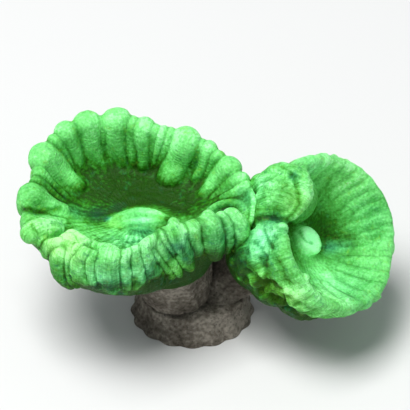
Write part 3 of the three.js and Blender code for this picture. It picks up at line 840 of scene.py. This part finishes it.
# The mouth is a knob with a ring of lip round a slit.
KNOB_TURN = -30
KNOB_HALF = (1.45, 1.15, 0.62)
LIP_HALF = (0.95, 0.62)
LIP_RADIUS = 0.34
knob_turned = Matrix.Rotation(math.radians(KNOB_TURN), 3, "Z")
knob_lip = []
for angle in np.radians(range(0, 375, 24)):
    spot = knob_turned @ Vector((LIP_HALF[0] * math.cos(angle), LIP_HALF[1] * math.sin(angle), KNOB_HALF[2]))
    knob_lip.append((*spot, LIP_RADIUS))
right_lines.append(rope_line(knob_lip))
parts = [bowl("right_bowl", RIGHT_RIM, RIGHT_NECK)]
parts += [egg("right_mound", (0, 0, 0), KNOB_HALF, (0, 0, KNOB_TURN))]
parts += [tube("right_lobe", *line) for line in right_lines]
for part in parts:
    part.data.transform(right_place)

# The folds in the saddle: round masses, each with its middle, half sizes and any turn, of which the low ones
# leave room for the cup, then the rolls and knobs of flesh on them.
MASS_GRAIN = 0.25  # the finest facet of the low masses
LOW_MASSES = [
    ((5.6, -0.2, 7.6), (3.0, 3.4, 4.1)),
    ((6.9, -3.2, 8.6), (2.8, 2.6, 4.1)),
    ((4.9, -3.2, 8.9), (1.6, 1.7, 2.4)),
    ((6.3, -3.2, 10.5), (2.0, 2.0, 2.1)),
    ((9.1, -5.0, 6.5), (2.3, 1.5, 1.7)),
]
HIGH_MASSES = [
    ((7.7, 0.95, 12.2), (2.4, 2.15, 2.35), (0, -20, 0)),
    ((7.2, 0.1, 13.0), (2.0, 1.9, 2.0), (0, -15, 0)),
    ((6.2, 1.1, 12.7), (1.5, 1.5, 1.6)),
    ((5.8, -0.3, 11.8), (1.0, 2.2, 1.4)),
    ((5.5, 1.9, 12.3), (1.0, 1.2, 1.2)),
    ((6.4, -2.2, 11.8), (1.3, 1.4, 0.9)),
]
ROLLS = [
    [(5.8, 1.9, 13.6, 0.4), (6.4, 1.7, 14.3, 0.5), (7.1, 1.45, 14.8, 0.55), (8.0, 1.0, 15.0, 0.6),
     (8.7, 0.6, 14.85, 0.65), (9.0, 0, 14.5, 0.65), (9.0, -0.6, 14.0, 0.65), (8.6, -1.2, 13.5, 0.6),
     (8.0, -1.7, 13.0, 0.5), (7.4, -2.0, 12.7, 0.4)],
    [(5.7, 1.9, 12.8, 0.5), (5.9, 0.9, 12.8, 0.5), (5.95, -0.1, 12.4, 0.5), (5.9, -1.0, 11.7, 0.5)],
    [(7.3, -5.9, 8.6, 0.45), (7.9, -6.8, 9.6, 0.5), (8.6, -7.0, 10.4, 0.5), (8.9, -6.8, 10.9, 0.4)],
    [(4.9, -2.6, 11.5, 0.42), (5.5, -2.8, 11.95, 0.52), (6.2, -3.0, 12.3, 0.6), (7.1, -3.2, 12.6, 0.6)],
]
KNOBS = [
    (4.85, -4.6, 10.2, 0.5), (5.4, -5.1, 10.1, 0.55), (5.3, -5.2, 9.0, 0.5), (5.9, -5.5, 9.8, 0.42),
    (6.05, -5.7, 8.8, 0.42), (5.75, -5.5, 7.6, 0.5), (6.7, -5.8, 8.7, 0.55), (3.5, -2.9, 8.7, 0.6),
    (4.1, -4.2, 9.2, 0.6), (6.5, -5.7, 7.2, 0.45), (4.6, -4.7, 8.4, 0.5), (7.2, -6.1, 7.6, 0.45),
]
saddle_lines = [rope_line(points) for points in ROLLS]

CAVITY_STEP = 5  # degrees between the sections
OVER_RIM = 3  # how far the room reaches over the rim


def cavity(rim, neck):
    """The room inside a cup and over its rim."""
    sections = []
    for angle in np.arange(-180, 180, CAVITY_STEP):
        rows, crest = bowl_section(rim, neck, angle)
        wall = rows[: crest - 1] + (0, 0.02)
        over = wall[-1][1] + OVER_RIM
        sections.append([*wall, (wall[-1][0], over), (0, over)])
    room = spun("cavity", np.array(sections), np.zeros((len(sections[0]), 2)))
    face_outwards()
    return room


room = cavity(RIGHT_RIM, RIGHT_NECK)
room.data.transform(right_place)
low = grow_together("low_masses", [egg("mass", *mass) for mass in LOW_MASSES], MASS_GRAIN)
cut = low.modifiers.new("cup", "BOOLEAN")
cut.operation = "DIFFERENCE"
cut.object = room
pick([low])
bpy.ops.object.modifier_apply(modifier="cup")
pick([room])
bpy.ops.object.delete()
folds = [low] + [egg("mass", *mass) for mass in HIGH_MASSES] + [tube("roll", *line) for line in saddle_lines]
folds += [egg("knob", middle, (radius,) * 3) for *middle, radius in KNOBS]
right = grow_together("right_flesh", parts + folds, SKIN_GRAIN)

to_head = right_place.inverted()


def seen_from_head(spots):
    """Spots measured from the stalk's foot, as the right head's own measures."""
    return [(*(to_head @ Vector(spot[:3])), *spot[3:]) for spot in spots]


# Grooves and spots as on the left head, measured from the stalk's foot.
RIGHT_GROOVES = [
    ((8.2, 0, 14), 4, 0.3, 1.0,
     [(7.8, 15.6), (8.1, 15.2), (8.48, 13.48), (8.48, 12.35), (8.0, 11.2), (7.7, 10.9)]),
    ((6.5, -1.5, 12.2), 3, 0.35, 0.8, [(5.3, 10.6), (6.2, 10.8), (7.3, 10.7), (7.9, 10.2)]),
    ((7.6, 0.6, 15), 3, 0.25, 0.6, [(7.1, 16.6), (7.7, 16.1), (8.3, 15.5)]),
    ((6.1, -3.6, 12), 3, 0.22, 1.0, [(5.7, 9.4), (6.0, 8.5), (6.4, 7.4)]),
    ((5.4, -4, 11), 4, 0.25, 0.6, [(5.0, 8.0), (5.6, 7.3), (5.9, 6.4), (5.8, 5.4)]),
    ((7.2, -5.5, 10), 4, 0.35, 0.7, [(6.6, 6.4), (7.2, 5.2), (7.4, 4.0), (8.0, 3.2)]),
    ((12, -1.5, 8.5), 3.2, 0.2, 0.4, [(10.4, 7.3), (11.5, 7.45), (12.6, 7.5), (13.8, 7.65)]),
    ((9.3, -0.9, 9.1), 1.7, 0.2, 0.9, [(8.7, 9.2), (8.85, 8.6), (9.25, 8.1), (9.6, 7.9)]),
]
RIGHT_ROUGH = [
    (5.6, -4.8, 9.2, 3.2, 0.36), (6.3, -3.6, 12.0, 2.6, 0.22), (7.8, -6.6, 8.8, 2.8, 0.3),
    (8.8, -5.6, 6.6, 3.0, 0.3), (7.2, 0.4, 14.2, 3.2, 0.22), (4.9, -3.2, 9.5, 2.4, 0.3),
    (5.2, 0.5, 13.2, 2.0, 0.15), (11.0, -7.0, 5.0, 3.0, 0.15),
]
# Spots of painted light (above zero) and painted shade (below zero): place, radius and strength.
RIGHT_PAINTED_LIGHT = [
    # the mouth
    (9.6, -0.8, 9.2, 1.8, 0.7),
    # the saddle
    (5.4, -3.5, 11.8, 2.0, 0.45), (6.0, -3.9, 12.0, 2.6, 0.12), (8.3, -7.0, 10.2, 1.8, 0.3),
    (6.7, -2.2, 12.6, 1.6, -0.5), (5.6, 0.4, 13.4, 2.3, 0.4), (5.4, 2.0, 13.2, 1.4, 0.4),
    (7.0, 0.2, 14.6, 1.8, 0.15), (6.5, -0.9, 14.0, 1.4, 0.15), (6.7, -5.8, 8.7, 0.9, 0.4),
    (5.4, -5.1, 9.8, 1.6, 0.2), (9.5, 2.2, 14.0, 2.2, 0.15), (8.6, -1.2, 13.2, 1.3, -0.2),
    (4.2, -2.8, 8.5, 2.0, 0.1),
    # the front, low down
    (7.5, -6.0, 6.8, 2.2, -0.35), (8.5, -5.5, 5.5, 2.5, -0.3), (5.5, -2.5, 6.5, 2.5, -0.2),
    (7.0, -5.0, 5.4, 2.2, -0.4), (10.0, -5.8, 6.2, 2.0, -0.3), (12.2, -5.6, 5.8, 2.0, -0.3),
    (10.5, -7.2, 4.8, 2.5, -0.45),
    # the wall of the cup
    (11.2, 0.8, 8.6, 1.8, -0.15), (10.7, -1.1, 6.9, 2.3, 0.25), (11.2, 0, 7.4, 1.0, 0.25),
    (12.1, 0, 7.7, 1.0, 0.2), (15.3, 1.5, 10.3, 3.2, -0.25), (13.5, -4.2, 6.8, 3.0, -0.2),
    (10.5, -4.0, 7.5, 3.5, 0.25), (12.3, -3.2, 7.0, 3.0, 0.16), (12.5, 4.0, 10.5, 4.5, 0.18),
    (9.5, -2.5, 8.0, 2.5, 0.2), (10.2, -2.4, 7.2, 1.8, 0.15),
]
RIGHT_BLUES = [
    (5.8, -3.8, 12.0, 2.6, 0.9), (11.0, 0, 7.4, 0.9, 0.8), (11.8, 0, 7.6, 0.9, 0.8),
    (12.6, 0.1, 7.9, 0.9, 0.6), (6.6, -2.2, 12.3, 1.2, 0.5), (8.1, 0.3, 15.2, 0.7, 0.4),
    (9.4, 1.8, 14.3, 1.6, 0.4), (12.0, -4.0, 7.5, 4.0, 0.4), (9.6, -0.8, 9.2, 1.8, 0.5),
    (4.6, -3.6, 9.8, 1.8, 0.5), (14.5, 1.0, 9.5, 3.0, 0.3), (5.8, 0.4, 13.6, 1.8, 0.4),
]
RIGHT_WARMS = [
    (5.6, -5.2, 9.2, 2.2, 0.7), (6.9, -6.2, 8.4, 2.2, 0.8), (8.2, -6.8, 9.4, 2.0, 0.6),
    (8.2, -1.0, 13.6, 1.6, 0.7), (10.5, -6.5, 6.5, 3.0, 0.4), (12.0, 5.5, 12.0, 3.5, 0.3),
]
cuts = grooves_at(*places_and_ways(right), RIGHT_GROOVES)
turned = to_head.to_3x3()
for line, thick, side, sideways in saddle_lines:
    line = np.array([to_head @ Vector(point) for point in line])
    right_lines.append((line, thick, side, tuple(turned @ Vector(sideways))))
right.data.transform(to_head)
spots = [seen_from_head(spots) for spots in (RIGHT_ROUGH, RIGHT_PAINTED_LIGHT, RIGHT_BLUES, RIGHT_WARMS)]
finish_head(right, right_lines, RIGHT_RIM, 0.28, 0.5, cuts, *spots)
right.data.transform(Matrix.Scale(MM, 4) @ right_place)
right.data.shade_smooth()
dress(right, flesh)
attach(right, "root")
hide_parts("right_polyp")


# STALK
# The stem of the colony's skeleton: an oval bar of porous limestone with low toothed ribs down its side, sawn
# off flat where the colony was cut, so that it stands on the cut.

RIB_HEIGHT = 0.045  # as a share of the radius
STALK_RIBS = 16
STALK_STEP = 0.12  # between rings
STALK_ROWS = [  # height and half sizes
    (0, 4.9, 4.2), (0.05, 4.9, 4.2), (0.7, 4.65, 3.95), (1.2, 4.4, 3.6), (1.8, 4.3, 3.45), (2.3, 4.3, 3.4),
    (2.4, 4.15, 3.25),
]


def bone(name, rings, ribs, columns=320):
    """A closed ribbed bar through rings, each given as its middle, its half sizes and its turn."""
    count = len(rings)
    middles, halves, turns = (np.array([np.array(ring[k]) for ring in rings]) for k in range(3))

    def place(turn, fall):
        row = np.round(fall * (count + 1)).astype(int)
        ring = np.clip(row - 1, 0, count - 1)
        a = turn * 2 * math.pi
        tooth = (0.5 + 0.5 * np.cos(a * ribs)) ** 0.7 * (0.8 + 0.2 * np.sin(row * 1.9))
        reach = (1 + RIB_HEIGHT * tooth) * ((row > 0) & (row < count + 1))
        across = halves[ring] * np.stack([np.cos(a), np.sin(a)], -1) * reach[:, None]
        return middles[ring] + np.einsum("nij,nj->ni", turns[ring][:, :, :2], across)

    piece = mould(name, columns, count + 1, place)
    face_outwards()
    return piece


GRIT = [(0.05, 0.5, 5), (0.03, 0.28, 6)]  # height and size of the skeleton's bumps, and their seed
GRIT_SINK = 0.05  # how far the skeleton is drawn in, so that its bumps stay inside its outline
FLAT_FOOT = 0.3  # how far up the bumps grow to their full height


def finish_bone(piece, keep_flat=False):
    """Roughens the skeleton. The sawn foot can be kept flat."""
    places, ways = places_and_ways(piece)
    push = sum(height * lumpy(places, size, seed) for height, size, seed in GRIT) - GRIT_SINK
    if keep_flat:
        push *= np.clip(places[:, 2] / FLAT_FOOT, 0, 1)
    put_at(piece, (places + ways * push[:, None]) * MM)
    piece.data.shade_smooth()


def fine_rows(rows):
    """Rows with more rows between them."""
    rows = np.array(rows, float)
    fine = [rows[0]]
    for one, other in zip(rows[:-1], rows[1:]):
        count = max(1, int((other[0] - one[0]) / STALK_STEP))
        fine += [one + (other - one) * (i + 1) / count for i in range(count)]
    return np.array(fine)


stalk_rings = [((0, 0, z), (rx, ry), np.eye(3)) for z, rx, ry in fine_rows(STALK_ROWS)]
stalk = bone("stalk_bone", stalk_rings, STALK_RIBS)
finish_bone(stalk, keep_flat=True)

DARK_STONE = (0.07, 0.06, 0.045)
STONE = (0.17, 0.15, 0.12)
PALE_STONE = (0.32, 0.29, 0.24)
PORE_SHADE = (0.04, 0.035, 0.03, 1)

stone, tree, surface = new_material("stone")
spot = node(tree, "ShaderNodeTexCoord", {}).outputs["Object"]
clouds = noise(tree, spot, 350, 5)
pores = node(tree, "ShaderNodeTexVoronoi", {"Vector": spot, "Scale": 3200}).outputs["Distance"]
grit = noise(tree, spot, 3000, 4)
tone = layered(tree, [(clouds, 0.9), (less(tree, grit, 0.5), 0.7)])
chalk = ramp(tree, tone, [(0.25, DARK_STONE), (0.45, STONE), (0.62, PALE_STONE)])
pits = ramp(tree, pores, [(0.05, BLACK), (0.28, WHITE)])
# The pores are painted dark: painted shade in the pits.
chalk = mix(tree, times(tree, less(tree, 1, pits), 0.6), chalk, PORE_SHADE)
height = layered(tree, [(pits, 0.05), (grit, 0.12)])
feed(tree, surface, {
    "Base Color": chalk, "Normal": relief(tree, height, 0.8), "Roughness": 0.9, "Specular IOR Level": 0.2,
})
dress(stalk, stone)
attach(stalk, "root")
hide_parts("stalk")


# BRANCHES
# The two arms of the fork, of the same ribbed limestone, which grew out of the stalk's top. Each widens
# upwards and ends inside the neck of the flesh that lives on it.

ARM_RINGS = 40
ARM_COLUMNS = 240


def arm(name, path, radii, facing, ribs):
    """A bar that bends from upright to the way its head faces, and widens. Its path is its foot, the point
    that it bends towards, and its top."""
    foot, bend, top = (Vector(p) for p in path)
    rings = []
    for t in np.linspace(0, 1, ARM_RINGS):
        middle = foot * (1 - t) ** 2 + bend * 2 * t * (1 - t) + top * t**2
        way = UP.lerp(facing, t).normalized()
        radius = radii[0] + (radii[1] - radii[0]) * t
        rings.append((tuple(middle), (radius, radius), UP.rotation_difference(way).to_matrix()))
    piece = bone(name, rings, ribs, ARM_COLUMNS)
    finish_bone(piece)
    dress(piece, stone)
    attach(piece, "root")
    return piece


LEFT_ARM = [(-1.3, 0, 2.3), (-1.5, 0.1, 4.2), (-2.2, 0.2, 6.4)]
left_arm = arm("left_arm", LEFT_ARM, radii=(2.8, 3.6), facing=UP, ribs=12)
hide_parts("left_branch")
RIGHT_ARM = [(2.2, 0.3, 2.3), (4.2, 1.7, 3.7), (6.8, 0.9, 6.0)]
right_arm = arm("right_arm", RIGHT_ARM, radii=(2.1, 2.8), facing=LEAN, ribs=10)
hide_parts("right_branch")


# STAGE
# A plain pale floor, one large soft light overhead and a faint fill, and the camera of the photograph.

FLOOR_SIZE = 1.2  # this and the lamp's measures are in metres
LAMP_PLACE = (-0.08, -0.04, 0.35)
LAMP_WAY = Vector((0.08, 0.04, -0.34))

bpy.ops.object.select_all(action="DESELECT")
bpy.ops.mesh.primitive_plane_add(size=FLOOR_SIZE, location=(0, 0, 0))
floor = bpy.context.object
floor.name = "floor"
paper, tree, surface = new_material("paper")
feed(tree, surface, {"Base Color": (0.75, 0.75, 0.74, 1), "Roughness": 0.9})
dress(floor, paper)

bpy.ops.object.light_add(type="AREA", location=LAMP_PLACE)
lamp = bpy.context.object
lamp.data.energy = 1.5
lamp.data.size = 0.18
lamp.rotation_euler = LAMP_WAY.to_track_quat("-Z", "Y").to_euler()
world = bpy.data.worlds.new("room")
bpy.context.scene.world = world
world.use_nodes = True
feed(world.node_tree, world.node_tree.nodes["Background"], {"Color": (0.9, 0.95, 1, 1), "Strength": 0.3})

# The photograph looks down at 45 degrees, and its width spans 32.8 mm at the coral.
PICTURE_WIDTH = 32.8
AWAY = 250
SENSOR = 36
LOOK_AT = Vector((1.04, 0, 12.24)) * MM
BACK = Vector((0, -1, 1)).normalized() * (AWAY * MM)
bpy.ops.object.camera_add(location=LOOK_AT + BACK)
camera = bpy.context.object
camera.rotation_euler = (-BACK).to_track_quat("-Z", "Y").to_euler()
camera.data.sensor_width = SENSOR
camera.data.lens = SENSOR * AWAY / PICTURE_WIDTH
camera.data.clip_start = 0.01
bpy.context.scene.camera = camera
bpy.context.scene.view_settings.view_transform = "Standard"
